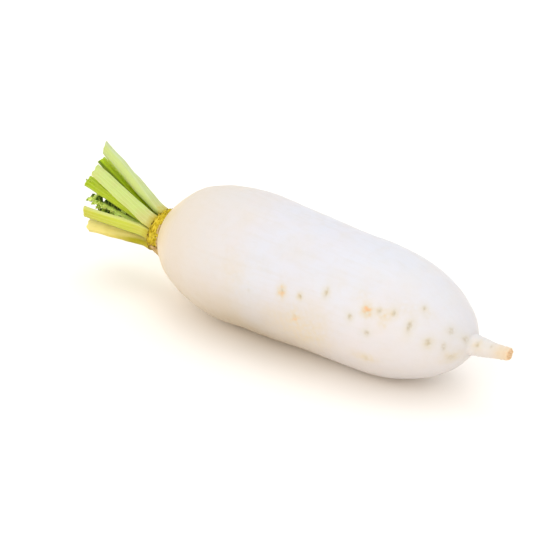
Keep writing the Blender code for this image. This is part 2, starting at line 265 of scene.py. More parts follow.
def piece_of(name, tubes, look, marks, crease=None):
    """One object made of closed tubes of rings, with its marks as attributes and its faces pointing outwards.

    A mark has one number for each point of each tube, and a pole takes the mean of its ring's numbers. The
    sum of each triangle's a . (b x c) is six times a closed mesh's volume. Below 0 it is inside out.
    """
    points, quads, fans = [], [], []
    values = {key: [] for key in marks}
    first = 0
    for which, rings in enumerate(tubes):
        rows, sides = rings.shape[:2]
        poles = rings[[0, -1]].mean(axis=1)
        points.append(np.concatenate([rings.reshape(-1, 3), poles]))
        for key in values:
            spread = np.broadcast_to(marks[key][which], (rows, sides))
            values[key].append(np.concatenate([spread.ravel(), spread[[0, -1]].mean(axis=1)]))
        a, b = tube_faces(rows, sides, first)
        whole = np.concatenate([a[:, [0, 1, 2]], a[:, [0, 2, 3]], b]) - first
        corner = points[-1][whole]
        if np.sum(corner[:, 0] * np.cross(corner[:, 1], corner[:, 2])) < 0:
            a, b = a[:, ::-1], b[:, ::-1]
        quads.append(a)
        fans.append(b)
        first += len(points[-1])
    mesh = bpy.data.meshes.new(name)
    faces = np.concatenate(quads).tolist() + np.concatenate(fans).tolist()
    mesh.from_pydata(np.concatenate(points).tolist(), [], faces)
    for key, parts in values.items():
        attribute = mesh.attributes.new(key, "FLOAT", "POINT")
        attribute.data.foreach_set("value", np.concatenate(parts).astype(np.float32))
    mesh.materials.append(look)
    mesh.shade_smooth()
    if crease:
        mesh.set_sharp_from_angle(angle=math.radians(crease))
    return added(name, mesh)


def paint(red, green, blue):
    """A colour given as it is seen, 0 to 255, as the linear colour that a shader takes."""
    seen = np.array([red, green, blue]) / 255
    return (*np.where(seen > 0.04045, ((seen + 0.055) / 1.055) ** 2.4, seen / 12.92), 1.0)


def feed(tree, socket, source):
    """A socket linked to another, or set to a plain value."""
    if isinstance(source, bpy.types.NodeSocket):
        tree.links.new(source, socket)
    else:
        socket.default_value = source


def node(tree, kind, settings=None, **inputs):
    """A shader node with its settings, and its named inputs linked or set."""
    made = tree.nodes.new("ShaderNode" + kind)
    for key, value in (settings or {}).items():
        setattr(made, key, value)
    for key, source in inputs.items():
        feed(tree, made.inputs[key.replace("_", " ")], source)
    return made


def mark(tree, name):
    """A piece's own attribute, as a number."""
    return node(tree, "Attribute", {"attribute_name": name}).outputs["Fac"]


def blended(tree, share, first, second):
    """The first colour turned into the second by a share."""
    made = tree.nodes.new("ShaderNodeMix")
    made.data_type = "RGBA"
    feed(tree, made.inputs[0], share)
    feed(tree, made.inputs[6], first)
    feed(tree, made.inputs[7], second)
    return made.outputs[2]


def covered(tree, base, *layers):
    """A base colour with others laid over it in turn, each by its share, given as seen or as a socket."""
    top = paint(*base)
    for share, colour in layers:
        if not isinstance(colour, bpy.types.NodeSocket):
            colour = paint(*colour)
        top = blended(tree, share, top, colour)
    return top


def scaled(tree, value, low, high, start=0.0, end=1.0):
    """A number carried from the range low to high onto start to end, held at both."""
    made = node(tree, "MapRange", {"clamp": True})
    for socket, source in zip(made.inputs, (value, low, high, start, end)):
        feed(tree, socket, source)
    return made.outputs["Result"]


def maths(tree, how, first, second):
    """Two numbers put together by one operation."""
    made = node(tree, "Math", {"operation": how})
    feed(tree, made.inputs[0], first)
    feed(tree, made.inputs[1], second)
    return made.outputs[0]


def cloud(tree, place, scale, detail, roughness=0.5):
    """Noise of a scale, around one half."""
    made = node(tree, "TexNoise", Vector=place, Scale=scale, Detail=detail, Roughness=roughness)
    return made.outputs["Fac"]


def stretched(tree, place, sizes):
    """A place drawn out by three factors, so that a pattern runs in streaks."""
    return node(tree, "Mapping", Vector=place, Scale=sizes).outputs["Vector"]


def bumped(tree, height, distance, strength, under=None):
    """A bump of a height map, over another bump where one is given."""
    made = node(tree, "Bump", Height=height, Distance=distance, Strength=strength)
    if under:
        tree.links.new(under, made.inputs["Normal"])
    return made.outputs["Normal"]


def material(name, **constants):
    """A new material, its constant sockets set, as (material, tree, shader, object place)."""
    made = bpy.data.materials.new(name)
    made.use_nodes = True
    tree = made.node_tree
    shader = tree.nodes["Principled BSDF"]
    for key, value in constants.items():
        shader.inputs[key.replace("_", " ")].default_value = value
    place = node(tree, "TexCoord").outputs["Object"]
    return made, tree, shader, place


def finished(made, shader, colour, roughness, normal):
    """A material with its colour, roughness and normal linked to its shader."""
    for name, source in (("Base Color", colour), ("Roughness", roughness), ("Normal", normal)):
        made.node_tree.links.new(source, shader.inputs[name])
    return made


def root_skin():
    """Waxy white skin: cream by the crown, painted warm shade low down, painted light on the tail half, a
    warm tail tip, stained round the scars.
    """
    made, tree, shader, place = material(
        "root_skin",
        Subsurface_Weight=0.25,
        Subsurface_Radius=(1.0, 0.75, 0.6),
        Subsurface_Scale=4 * MM,
        Specular_IOR_Level=0.35,
    )
    broad = cloud(tree, place, 22, 3)
    fine = cloud(tree, place, 160, 4, 0.6)
    streaks = cloud(tree, stretched(tree, place, (0.08, 1, 1)), 420, 3)
    depth = mark(tree, "depth")
    from_crown = maths(tree, "ADD", depth, maths(tree, "MULTIPLY", broad, 0.05))
    halo = maths(tree, "MULTIPLY", mark(tree, "halo"), scaled(tree, fine, 0.3, 0.6, 0.5, 1.0))
    blush_and_shade = mark(tree, "blush_and_shade")
    stain_and_shade = covered(tree, (208, 192, 158), (scaled(tree, blush_and_shade, 0.35, 0.8), (222, 176, 138)))
    broken = maths(tree, "MULTIPLY", mark(tree, "broken"), scaled(tree, fine, 0.3, 0.7, 0.55, 0.95))
    colour = covered(
        tree,
        (207, 208, 215),
        (scaled(tree, broad, 0.35, 0.65), (211, 206, 209)),
        (scaled(tree, cloud(tree, place, 46, 3), 0.5, 0.7, 0, 0.4), (208, 202, 192)),
        (scaled(tree, streaks, 0.45, 0.75, 0, 0.25), (202, 196, 190)),
        (scaled(tree, fine, 0.5, 0.8, 0, 0.25), (202, 194, 182)),
        # Painted shade: darker and warmer low down, standing in for shade and warm bounce from the floor
        (scaled(tree, mark(tree, "low"), 0, 1, 0, 0.85), (168, 148, 108)),
        # Painted light: the tail half made paler, lifting its shading
        (scaled(tree, depth, 0.5, 0.85, 0, 0.5), (217, 213, 212)),
        (scaled(tree, from_crown, 0.4, 0.03), (210, 196, 174)),
        (scaled(tree, depth, 0.1, 0.015, 0, 0.8), (226, 203, 160)),
        (scaled(tree, depth, 0.88, 1.0), (209, 201, 190)),
        (halo, (202, 194, 168)),
        # Stains, and one broad patch of painted warm shade low on the near side
        (scaled(tree, blush_and_shade, 0, 0.6), stain_and_shade),
        (mark(tree, "scar"), (166, 148, 106)),
        (scaled(tree, depth, 0.955, 1.0, 0, 0.6), (220, 190, 144)),
        (broken, (212, 172, 124)),
    )
    dull = maths(tree, "MULTIPLY", mark(tree, "halo"), 0.2)
    roughness = maths(tree, "ADD", scaled(tree, fine, 0.3, 0.7, 0.34, 0.5), dull)
    relief = bumped(tree, streaks, 0.12 * MM, 0.5)
    return finished(made, shader, colour, roughness, bumped(tree, fine, 0.15 * MM, 0.5, relief))


def crown_rind():
    """Golden olive rind with brown specks.

    It is darker in its grooves and by the stalks' feet, has painted shade on its underside and in a dark seam
    by the root, and has a tan patch beside the papery flap.
    """
    made, tree, shader, place = material(
        "crown_rind",
        Subsurface_Weight=0.1,
        Subsurface_Radius=(1.0, 0.7, 0.2),
        Subsurface_Scale=1.5 * MM,
        Specular_IOR_Level=0.2,
    )
    patches = cloud(tree, place, 260, 3, 0.6)
    grain = cloud(tree, place, 1300, 3, 0.6)
    tan = covered(tree, (178, 148, 88), (scaled(tree, grain, 0.35, 0.65), (146, 114, 58)))
    colour = covered(
        tree,
        (220, 198, 54),
        (scaled(tree, patches, 0.35, 0.65), (180, 158, 12)),
        (scaled(tree, mark(tree, "groove"), 0.4, 1, 0, 0.35), (146, 122, 10)),
        (scaled(tree, mark(tree, "top"), 0, 1, 0, 0.8), (120, 100, 8)),
        (scaled(tree, grain, 0.55, 0.75, 0, 0.5), (118, 88, 20)),
        (mark(tree, "speck"), (80, 54, 6)),
        # Painted shade on the crown's underside
        (mark(tree, "under"), (150, 124, 0)),
        (mark(tree, "scrap"), tan),
        # Painted shade in the seam by the root
        (mark(tree, "seam"), (112, 80, 30)),
    )
    roughness = scaled(tree, patches, 0.3, 0.7, 0.45, 0.7)
    relief = bumped(tree, patches, 0.5 * MM, 0.5)
    return finished(made, shader, colour, roughness, bumped(tree, grain, 0.25 * MM, 0.6, relief))


def stalk_skin(
    name, foot, middle, tip, upper, lower, hollow, hollow_from=-0.15, lower_from=0.72, heel=None
):
    """Smooth leaf-stalk skin with pale lengthwise ribs and a moist cut.

    It takes colours for its foot, middle and tip, for its upper and lower margins and for its hollow side,
    how far round that side starts, from 1 on the back to -1 in the middle of the hollow, where the lower
    margin starts, from 0 in the middle to 1 at the edge, and the back's colour by the foot, if it has one.
    """
    made, tree, shader, place = material(
        name,
        Subsurface_Weight=0.15,
        Subsurface_Radius=(0.8, 1.0, 0.3),
        Subsurface_Scale=1.5 * MM,
        Specular_IOR_Level=0.22,
    )
    along = mark(tree, "along")
    across = mark(tree, "across")
    face = mark(tree, "face")
    on_stalk = node(tree, "CombineXYZ", X=along, Y=across, Z=face).outputs[0]
    streaks = cloud(tree, stretched(tree, on_stalk, (1.2, 9, 3)), 2.2, 4, 0.6)
    patches = cloud(tree, place, 120, 2)
    grain = cloud(tree, place, 900, 2)
    wandered = maths(tree, "ADD", along, scaled(tree, patches, 0.3, 0.7, -0.08, 0.08))
    worn = scaled(tree, streaks, 0.35, 0.6, 0.15, 0.4)
    base = maths(tree, "ADD", along, scaled(tree, cloud(tree, place, 420, 3), 0.3, 0.7, -0.03, 0.03))
    spots = node(tree, "TexVoronoi", Vector=place, Scale=1100.0).outputs["Distance"]
    flesh = covered(tree, (178, 196, 104), (scaled(tree, spots, 0.1, 0.35), (226, 234, 178)))
    layers = [
        (scaled(tree, wandered, 0.0, 0.28), middle),
        (scaled(tree, wandered, 0.55, 1.0), tip),
        (scaled(tree, face, hollow_from, 0.5 * hollow_from - 0.5, 0, 0.85), hollow),
        (scaled(tree, across, lower_from, lower_from + 0.26, 0, 0.85), lower),
        (scaled(tree, across, -0.72, -0.98, 0, 0.7), upper),
        (scaled(tree, cloud(tree, place, 75, 2), 0.48, 0.66, 0, 0.35), foot),
        (scaled(tree, streaks, 0.5, 0.72, 0, 0.5), [0.88 * value for value in middle]),
        (
            maths(tree, "MULTIPLY", scaled(tree, mark(tree, "rib"), 0.3, 1), worn),
            [value + 0.3 * (250 - value) for value in middle],
        ),
    ]
    if heel:
        low = maths(tree, "MULTIPLY", scaled(tree, face, 0.05, 0.45), scaled(tree, wandered, 0.65, 0.2))
        layers.append((low, heel))
    layers.append((scaled(tree, base, 0.11, 0.0, 0, 0.9), (180, 162, 34)))
    layers.append((mark(tree, "cut"), flesh))
    roughness = scaled(tree, streaks, 0.3, 0.7, 0.38, 0.52)
    relief = bumped(tree, streaks, 0.25 * MM, 0.5)
    normal = bumped(tree, grain, 0.08 * MM, 0.4, relief)
    return finished(made, shader, covered(tree, foot, *layers), roughness, normal)


def leaf_green(name, blade, deep, edge, vein, lit):
    """Crumpled young leaf: painted shade deep green in its hollows, fresh at its edges, bright veins and
    painted light on lit spots.
    """
    made, tree, shader, place = material(
        name,
        Subsurface_Weight=0.1,
        Subsurface_Radius=(0.4, 1.0, 0.1),
        Subsurface_Scale=1 * MM,
        Specular_IOR_Level=0.12,
    )
    patches = cloud(tree, place, 420, 3)
    grain = cloud(tree, place, 2400, 2)
    colour = covered(
        tree,
        deep,
        (scaled(tree, patches, 0.4, 0.6), blade),
        # Painted shade in the hollows
        (scaled(tree, mark(tree, "hollow"), 0, 1, 0, 0.7), deep),
        (scaled(tree, mark(tree, "edge"), 0.5, 1, 0, 0.7), edge),
        # Painted light where marked lit
        (mark(tree, "lit"), lit),
        (mark(tree, "vein"), vein),
    )
    roughness = scaled(tree, patches, 0.3, 0.7, 0.45, 0.65)
    return finished(made, shader, colour, roughness, bumped(tree, grain, 0.12 * MM, 0.6))


def dry_scale():
    """Papery tan skin of dead leaf bases, patchy and paler towards its torn end."""
    made, tree, shader, place = material("dry_scale")
    patches = cloud(tree, place, 500, 4, 0.6)
    colour = covered(
        tree,
        (200, 172, 114),
        (scaled(tree, patches, 0.35, 0.65), (168, 136, 78)),
        (scaled(tree, mark(tree, "along"), 0.5, 1, 0, 0.4), (214, 192, 148)),
    )
    roughness = scaled(tree, patches, 0.3, 0.7, 0.6, 0.85)
    return finished(made, shader, colour, roughness, bumped(tree, patches, 0.3 * MM, 0.7))


def root_radius(depth):
    """Radius at a depth: a superellipse shoulder, a taper, a superellipse hip and a flared tail."""
    power = SHOULDER_POWER
    hidden = SHOULDER_LENGTH * (1 - (1 - (SEAT_RADIUS / SHOULDER_RADIUS) ** power) ** (1 / power))
    along = (depth + hidden) / (BODY_LENGTH + hidden)
    taper = SHOULDER_RADIUS + (HIP_RADIUS - SHOULDER_RADIUS) * np.clip(along, 0, 1) ** TAPER_POWER
    shoulder = (1 - np.clip(1 - (depth + hidden) / SHOULDER_LENGTH, 0, 1) ** power) ** (1 / power)
    closing = 1 - np.clip((depth - BODY_LENGTH + HIP_LENGTH) / HIP_LENGTH, 0, None) ** HIP_POWER
    body = taper * shoulder * np.sign(closing) * np.sqrt(np.abs(closing))
    down_tail = np.clip((depth - BODY_LENGTH) / TAIL_LENGTH, 0, 1)
    tail = TAIL_END_RADIUS + (TAIL_RADIUS - TAIL_END_RADIUS) * (1 - down_tail) ** TAIL_FLARE
    return np.where(depth < BODY_LENGTH / 2, body, smooth_larger(body, tail, TAIL_FILLET))


def grown(radius, depth, bearing):
    """A turned root made to look grown: lobed, bowed sideways, its seat dropped and its tail lifted."""
    share = np.clip(depth / BODY_LENGTH, 0, 1)
    on_body = smooth_step(depth / SHOULDER_LENGTH) * (1 - smooth_step((share - 0.8) / 0.2))
    swell = 1 + on_body * (
        LOBE * np.cos(-3 * bearing + 1.2 + 2.4 * share) - FLATTENING * np.cos(2 * bearing)
    )
    down_tail = np.clip((depth - BODY_LENGTH + TAIL_LENGTH) / (2 * TAIL_LENGTH), 0, 1)
    drop = SEAT_DROP * (1 - smooth_step(depth / DROP_LENGTH))
    x = radius * np.cos(bearing) * swell + TAIL_LIFT * down_tail**2 - drop
    y = -radius * np.sin(bearing) * swell + 4 * BOW * share * (1 - share)
    return np.stack([x, y, -depth + 0 * bearing], axis=-1)


def root_rows():
    """Radius and depth of the root's rings: seat, body, tail, rounded edge and the broken end."""
    step = np.linspace(0, 1, 280)
    body = BODY_LENGTH * (0.55 * step + 0.45 * (1 - np.cos(np.pi * step)) / 2)
    tail = BODY_LENGTH + (TAIL_LENGTH - TAIL_EDGE) * np.linspace(0, 1, 41)[1:]
    side = np.concatenate([body, tail])
    curve = np.linspace(0, np.pi / 2, 6)[1:]
    seat = np.linspace(0.1, 1, 6)[:-1]
    end = np.linspace(1, 0.1, 8)[1:]
    radius = np.concatenate([
        SEAT_RADIUS * seat,
        root_radius(side),
        TAIL_END_RADIUS - TAIL_EDGE * (1 - np.cos(curve)),
        (TAIL_END_RADIUS - TAIL_EDGE) * end,
    ])
    depth = np.concatenate([
        0 * seat,
        side,
        BODY_LENGTH + TAIL_LENGTH - TAIL_EDGE * (1 - np.sin(curve)),
        BODY_LENGTH + TAIL_LENGTH + 0 * end,
    ])
    ended = np.concatenate([0 * seat, 0 * side, smooth_step(curve / 1.6), 1 + 0 * end])
    return radius[:, None], depth[:, None], ended[:, None]


def far_scars():
    """Guessed scars on the hidden sides: a second row opposite the near one, and strays."""
    rng = np.random.default_rng(41)
    count = 15
    depth = np.linspace(88, 238, count) + rng.normal(0, 4, count)
    bearing = 63 + 180 + rng.normal(0, 13, count)
    strays = 7
    depth = np.concatenate([depth, rng.uniform(70, 225, strays)])
    bearing = np.concatenate([bearing, rng.uniform(135, 320, strays)])
    total = count + strays
    reach = rng.uniform(1.1, 2.3, total)
    length = rng.uniform(0.6, 1.0, total)
    dent = rng.uniform(0.2, 0.5, total)
    return np.stack([depth, bearing, reach, length, dent], axis=-1)


def bells(spots, radius, depth, bearing):
    """For each spot exp(-far) and far = (round / its width)^2 + (along / its length)^2."""
    away = (np.degrees(bearing)[..., None] - spots[:, 1] + 180) % 360 - 180
    across = np.maximum(radius, 2 * MM)[..., None] * np.radians(away) / (spots[:, 2] * MM)
    along = (depth[..., None] - spots[:, 0] * MM) / (spots[:, 3] * MM)
    squared = across**2 + along**2
    return np.exp(-squared), squared


def daikon_root(look):
    """The white root: the turned and grown form, moved along its normals by what the skin carries.

    The height is broad unevenness, sparse grooves round it, scars as transverse dents with a soft collar at
    1.7 times their reach, and creases down the tail. The underside is pressed flat at the ground.
    """
    radius, depth, ended = root_rows()
    bearing = once_round(256)
    points = grown(radius, depth, bearing)
    depth = depth + 0 * bearing
    radius = radius + 0 * bearing
    bearing = bearing + 0 * depth
    on_side = smooth_step(depth / (6 * MM)) * (1 - ended)

    height = on_side * (0.22 * MM * mottle(points, 48, 3) + 0.07 * MM * mottle(points, 15, 4))
    height += on_side * 0.02 * MM * mottle(points, 5, 5)
    wandering = depth + 0.5 * MM * mottle(points, 30, 6)
    lines = smooth_step(mottle(wandering[..., None], 3.4, 7, 30) - 0.9)
    patchy = smooth_step(0.5 + 0.6 * mottle(points, 24, 8))
    height -= on_side * 0.10 * MM * lines * patchy

    spots = np.concatenate([np.array(SCARS), far_scars()])
    dents, squared = bells(spots, radius, depth, bearing)
    collars = np.exp(-((np.sqrt(squared) - 1.7) ** 2) / 0.3)
    depths = spots[:, 4] * MM
    height -= (dents * depths).sum(axis=-1)
    height += 0.22 * (collars * depths).sum(axis=-1)

    down_tail = smooth_step((depth - BODY_LENGTH + 8 * MM) / (12 * MM)) * (1 - ended)
    height += down_tail * 0.08 * MM * mottle(wandering[..., None], 3.2, 9, 20)
    height += down_tail * 0.10 * MM * np.cos(5 * bearing + 260 * depth)
    height += ended * 0.22 * MM * mottle(points, 1.8, 10)

    points = points + skin_directions(points) * height[..., None]
    world = laid(points)
    world[..., 2] = np.maximum(world[..., 2], 0)

    wide = spots.copy()
    wide[:, 2:4] *= (2.3, 2.8)
    strength = np.minimum(spots[:, 4] / 0.5, 1)
    halo = (bells(wide, radius, depth, bearing)[0] * strength).sum(axis=-1)
    stains = np.array(BLUSHES_AND_SHADE)
    blush_and_shade = (bells(stains, radius, depth, bearing)[0] * stains[:, 4]).sum(axis=-1)
    core = np.clip(1.1 * (dents * strength).sum(axis=-1), 0, 1)
    towards_tail = smooth_step(depth / BODY_LENGTH / 0.4 - 0.9)
    marks = {
        "depth": [depth / (BODY_LENGTH + TAIL_LENGTH)],
        "scar": [core * np.clip(0.5 + 0.25 * mottle(points, 2, 11), 0, 0.8)],
        "halo": [np.clip(0.6 * halo, 0, 0.8)],
        "blush_and_shade": [np.clip(blush_and_shade * (0.7 + 0.2 * mottle(points, 3, 12)), 0, 1)],
        "broken": [ended],
        # Where the skin takes painted warm shade: low down, less towards the tail
        "low": [smooth_step(1 - world[..., 2] / PAINTED_SHADE_HEIGHT) * (1 - 0.7 * towards_tail)],
    }
    return piece_of("daikon_root", [world], look, marks)


def ringed_crown(look):
    """The crown: rings and a slanting row of leaf scars, with fibrous unevenness, leant with its stalks.

    Radius = crown radius + ring depth cos(turns) - rounded edges, swelled by the scars' cos squared humps.
    """
    side = np.linspace(CROWN_EDGE / 3, CROWN_HEIGHT - CROWN_EDGE / 3, 120)
    inset = CROWN_RADIUS - 1.6 * CROWN_EDGE
    cap = np.linspace(0.1, 1, 14)
    edge = 1 - smooth_step(side / CROWN_EDGE) + smooth_step(1 - (CROWN_HEIGHT - side) / CROWN_EDGE)
    radius = np.concatenate([inset * cap, CROWN_RADIUS - CROWN_EDGE * edge, inset * cap[::-1]])[:, None]
    height = np.concatenate([0 * cap, side, CROWN_HEIGHT + 0 * cap])[:, None]
    bearing = once_round(300)
    on_side = smooth_step((radius - CROWN_RADIUS + 2 * CROWN_EDGE) / CROWN_EDGE)
    ringside = np.stack([CROWN_RADIUS * np.cos(bearing), CROWN_RADIUS * np.sin(bearing)], axis=-1)
    turns = (height + 0.45 * MM * mottle(ringside, 9, 20)) / CROWN_RING_PITCH
    rings = np.cos(TAU * turns)
    radius = radius + on_side * CROWN_RING_DEPTH * rings
    slant = SCARS_ROUND * bearing + TAU * height / CROWN_HEIGHT
    scars = np.maximum(0, np.cos(slant)) ** 2
    swelled = radius * (1 + on_side * 0.5 * SCAR_HEIGHT * scars / CROWN_RADIUS)
    x, y = swelled * np.cos(bearing), swelled * np.sin(bearing)
    z = height - x * math.tan(CROWN_LEAN) * height / CROWN_HEIGHT
    points = np.stack([x, y, z], axis=-1)
    torn = mottle(points * (1, 1, 2.2), 2.6, 21)
    fibres = mottle(points * (1, 1, 0.3), 1.5, 22)
    relief = (0.2 * torn + 0.1 * fibres + 0.16 * mottle(points, 5, 23)) * MM * (0.3 + 0.7 * on_side)
    points = points + skin_directions(points) * relief[..., None]
    points[..., 2] -= CROWN_SINK * (1 - height / CROWN_HEIGHT)
    points = points + np.array([-SEAT_DROP, 0, GAP])
    share = height / CROWN_HEIGHT + 0 * bearing
    rim = smooth_step((share - 0.7) / 0.2)
    specks = smooth_step((mottle(points, 1.3, 24) - 1.0) / 0.7)
    specks = specks * smooth_step(0.4 + mottle(points, 6, 25))
    specks = np.maximum(specks, rim * smooth_step((mottle(points, 3.2, 28) - 0.5) / 0.5))
    facing = np.cos(bearing + math.radians(150))
    marks = {
        "groove": [(0.5 - 0.5 * rings) * smooth_step(0.5 + 0.5 * mottle(points, 7, 26))],
        "speck": [np.clip(specks, 0, 1)],
        # Painted shade in the seam by the root
        "seam": [1 - smooth_step(share / 0.09)],
        "top": [smooth_step((share - 0.72) / 0.25 + 0.25 * mottle(points, 4, 27))],
        # Painted shade on the crown's underside
        "under": [0.7 * smooth_step(-0.2 - 1.4 * np.cos(bearing)) + 0 * share],
        "scrap": [
            smooth_step((facing - 0.74 + 0.08 * mottle(points, 3, 29)) / 0.1)
            * smooth_step((0.8 - share + 0.1 * mottle(points, 2, 30)) / 0.15)
        ],
    }
    return piece_of("ringed_crown", [laid(points)], look, marks)


def bent_frames(bearing, seat, rise, swing, length, shares):
    """Middle line of a stalk, with its side, outward and forward directions, seen from the crown's top.

    The line starts square to the crown's top, turns smoothly towards (rise up, swing to the near side, 1
    forward) over its first part, and is the running sum of its heading.
    """
    outward = np.array([math.cos(bearing), -math.sin(bearing), 0])
    forward = np.array([0.0, 0.0, 1.0])
    target = unit(np.array([rise, -swing, 1.0]))
    hinge = unit(np.cross(forward, target))
    full_turn = math.acos(target[2])
    fine = np.linspace(0, 1, 401)
    heading = turned(forward, hinge, full_turn * smooth_step(fine / BEND_SHARE))
    steps = (heading[1:] + heading[:-1]) / 2 * length / 400
    line = np.concatenate([np.zeros((1, 3)), np.cumsum(steps, axis=0)])
    place = np.stack([np.interp(shares, fine, line[:, k]) for k in range(3)], axis=-1)
    place = place + outward * seat + forward * GAP
    turn = full_turn * smooth_step(shares / BEND_SHARE)
    directions = [turned(way, hinge, turn) for way in (np.cross(outward, forward), outward, forward)]
    return place, *directions


def leaf_stalk(name, look, ribs, ragged, seed, heel):
    """A cut leaf stalk: superellipse sections wrapped round a curl radius, carried along the bent line.

    The last rings shrink into the cut face, which is dished and, where it is ragged, torn along the fibres.
    Ribs run lengthwise over its back as a cosine across the width. A heel, in mm, thickens the back by the
    foot, and ragged is the depth of the tearing in mm.
    """
    bearing, rise, swing, *sizes, twist, slant_out, slant_across = STALKS[name]
    length, foot, middle, tip, thick = [size * MM for size in sizes]
    inner = name.startswith("inner")
    seat = INNER_SEAT if inner else OUTER_SEAT
    base_depth = INNER_BASE_DEPTH if inner else OUTER_BASE_DEPTH
    run = np.linspace(0, 1, 120) ** 1.15
    face = np.array([0.985, 0.95, 0.88, 0.78, 0.66, 0.52, 0.38, 0.24, 0.12])
    share = np.concatenate([0 * face, run, 1 + 0 * face])
    fill = np.concatenate([face[::-1], 1 + 0 * run, face])[:, None]
    on_cut = np.concatenate([0 * face, 0 * run, 1 + 0 * face])[:, None]
    place, side, outward, forward = bent_frames(math.radians(bearing), seat, rise, swing, length, share)
    roll = math.radians(twist) * smooth_step(share / 0.7)
    side, outward = turned(side, forward, roll), turned(outward, forward, roll)
    place = place - np.array([0, 0, STALK_SINK]) * (1 - smooth_step(share / 0.06))[:, None]

    share = share[:, None]
    opening = smooth_step(share / OPEN_SHARE)
    width = foot + (middle - foot) * opening + (tip - middle) * smooth_step((share - 0.5) / 0.5)
    depth = (base_depth + (thick - base_depth) * opening) * (1 - 0.1 * share)
    curl = seat + (1.1 * middle - seat) * opening if inner else seat + 0 * share
    boxiness = BASE_BOXINESS + (TIP_BOXINESS - BASE_BOXINESS) * opening
    angle = once_round(96)
    across = width / 2 * boxed(np.cos(angle), 2 / boxiness) * fill
    out = depth / 2 * boxed(np.sin(angle), 2 / boxiness) * fill
    out = out + heel * MM * smooth_step(np.sin(angle)) * (1 - smooth_step(share / 0.5)) * fill
    flat = (curl + out) * np.sin(across / curl)
    raised = (curl + out) * np.cos(across / curl) - curl
    slope = raised * math.tan(math.radians(slant_out)) + flat * math.tan(math.radians(slant_across))
    ahead = -slope * smooth_step((share - 0.8) / 0.2)
    points = (
        place[:, None, :]
        + side[:, None, :] * flat[..., None]
        + outward[:, None, :] * raised[..., None]
        + forward[:, None, :] * ahead[..., None]
    )
    tearing = ragged * MM * mottle(np.stack([flat, raised], axis=-1), 3.2 + 2.5 * ragged, seed)
    dish = 0.5 * MM * (1 - fill**2) * on_cut
    back = (tearing * smooth_step((share - 0.9) / 0.1) - dish)[..., None]
    points = points + forward[:, None, :] * back

    u = np.clip(across / (width / 2), -1, 1)
    on_back = smooth_step(0.5 + 1.2 * np.sin(angle)) * (1 - on_cut)
    rib = np.cos(math.pi * ribs * u)
    grown_in = smooth_step(share / 0.2)
    flat_place = np.stack([share * length + 0 * u, u * width / 2, out], axis=-1)
    height = on_back * grown_in * 0.11 * rib + 0.14 * mottle(flat_place, 16, seed + 1)
    height += 0.035 * mottle(flat_place * (0.12, 1, 1), 0.9, seed + 2) * (1 - on_cut)
    height += on_cut * 0.10 * mottle(points, 0.9, seed + 3)
    points = points + skin_directions(points) * (height * MM)[..., None]
    marks = {
        "along": [share + 0 * u],
        "across": [u],
        "face": [np.sin(angle) + 0 * u],
        "rib": [rib * on_back],
        "cut": [on_cut * smooth_step((1 - fill) / 0.06) + 0 * u],
    }
    return piece_of(name + "_skin", [laid(on_crown(points))], look, marks, crease=48)


def leaflets(name, spine, look, shares, reach, seed, hands=(-1, 1)):
    """A spray of crumpled leaflets along a spine of (place, side, outward, forward).

    Each is a small blade bent round an arc: t along it and v across it, half width = reach sin(pi t^0.7)^0.7
    with toothed edges, cupped by v squared and ruffled by a sine that grows to the edge.
    """
    rng = np.random.default_rng(seed)
    place, side, outward, forward = spine
    t, v, through = sheet(22, 26)
    grids, veins, hollows, edges = [], [], [], []
    for k, share in enumerate(shares):
        here = min(int(round(share * (len(place) - 1))), len(place) - 1)
        hand = hands[k % len(hands)]
        way = unit(
            hand * side[here] * rng.uniform(0.7, 1.0)
            + forward[here] * rng.uniform(0.35, 1.0)
            + outward[here] * rng.uniform(-0.5, 0.5)
        )
        up = unit(np.cross(np.cross(way, outward[here] + 0.3 * rng.normal(size=3)), way))
        over = np.cross(way, up)
        size = reach * MM * rng.uniform(0.75, 1.25)
        bend = rng.uniform(0.8, 2.4) * rng.choice([-1, 1])
        wave, phase = rng.uniform(3.0, 4.5), rng.uniform(0, TAU)
        half = 0.62 * size * np.sin(np.pi * np.clip(t, 0.03, 0.97) ** 0.7) ** 0.7
        half = half * (0.8 + 0.2 * np.abs(np.sin(4.5 * np.pi * t)))
        cup = 0.5 * half * v**2 + 0.28 * size * np.abs(v) ** 1.5 * np.sin(TAU * wave * t + phase + 1.5 * v)
        turn = bend * t
        line = size * 1.5 * np.sin(turn) / bend
        lift = size * 1.5 * (1 - np.cos(turn)) / bend
        rise = cup + LEAFLET_SKIN * through
        grid = (
            place[here]
            + way * (line - np.sin(turn) * rise)[..., None]
            + up * (lift + np.cos(turn) * rise)[..., None]
            + over * (v * half)[..., None]
        )
        grids.append(laid(on_crown(grid)))
        branch = np.abs((t * 5 + 0.6 * np.abs(v)) % 1 - 0.5) * 2
        veins.append(np.maximum(np.exp(-((v / 0.16) ** 2)), 0.5 * smooth_step((branch - 0.8) / 0.2)))
        # Painted shade where the leaflet's cup is low
        hollows.append(smooth_step(0.5 - cup / (0.5 * size)))
        edges.append(np.abs(v) ** 3 + 0 * t)
    # Painted highlight on every fourth leaflet
    lit = [(0.75 if k % 4 == 0 else 0.0) + 0 * hollow for k, hollow in enumerate(hollows)]
    return piece_of(name, grids, look, {"vein": veins, "hollow": hollows, "edge": edges, "lit": lit})


def tip_leaflets(look):
    """The few fresh leaflets left at the tip of the inner stalk on the near side."""
    bearing, rise, swing, length = STALKS["inner_stalk_1"][:4]
    share = np.linspace(0, 1, 200)
    spine = bent_frames(math.radians(bearing), INNER_SEAT, rise, swing, length * MM, share)
    return leaflets("inner_stalk_1_leaflets", spine, look, np.linspace(0.8, 0.99, 7), 2.0, 330)


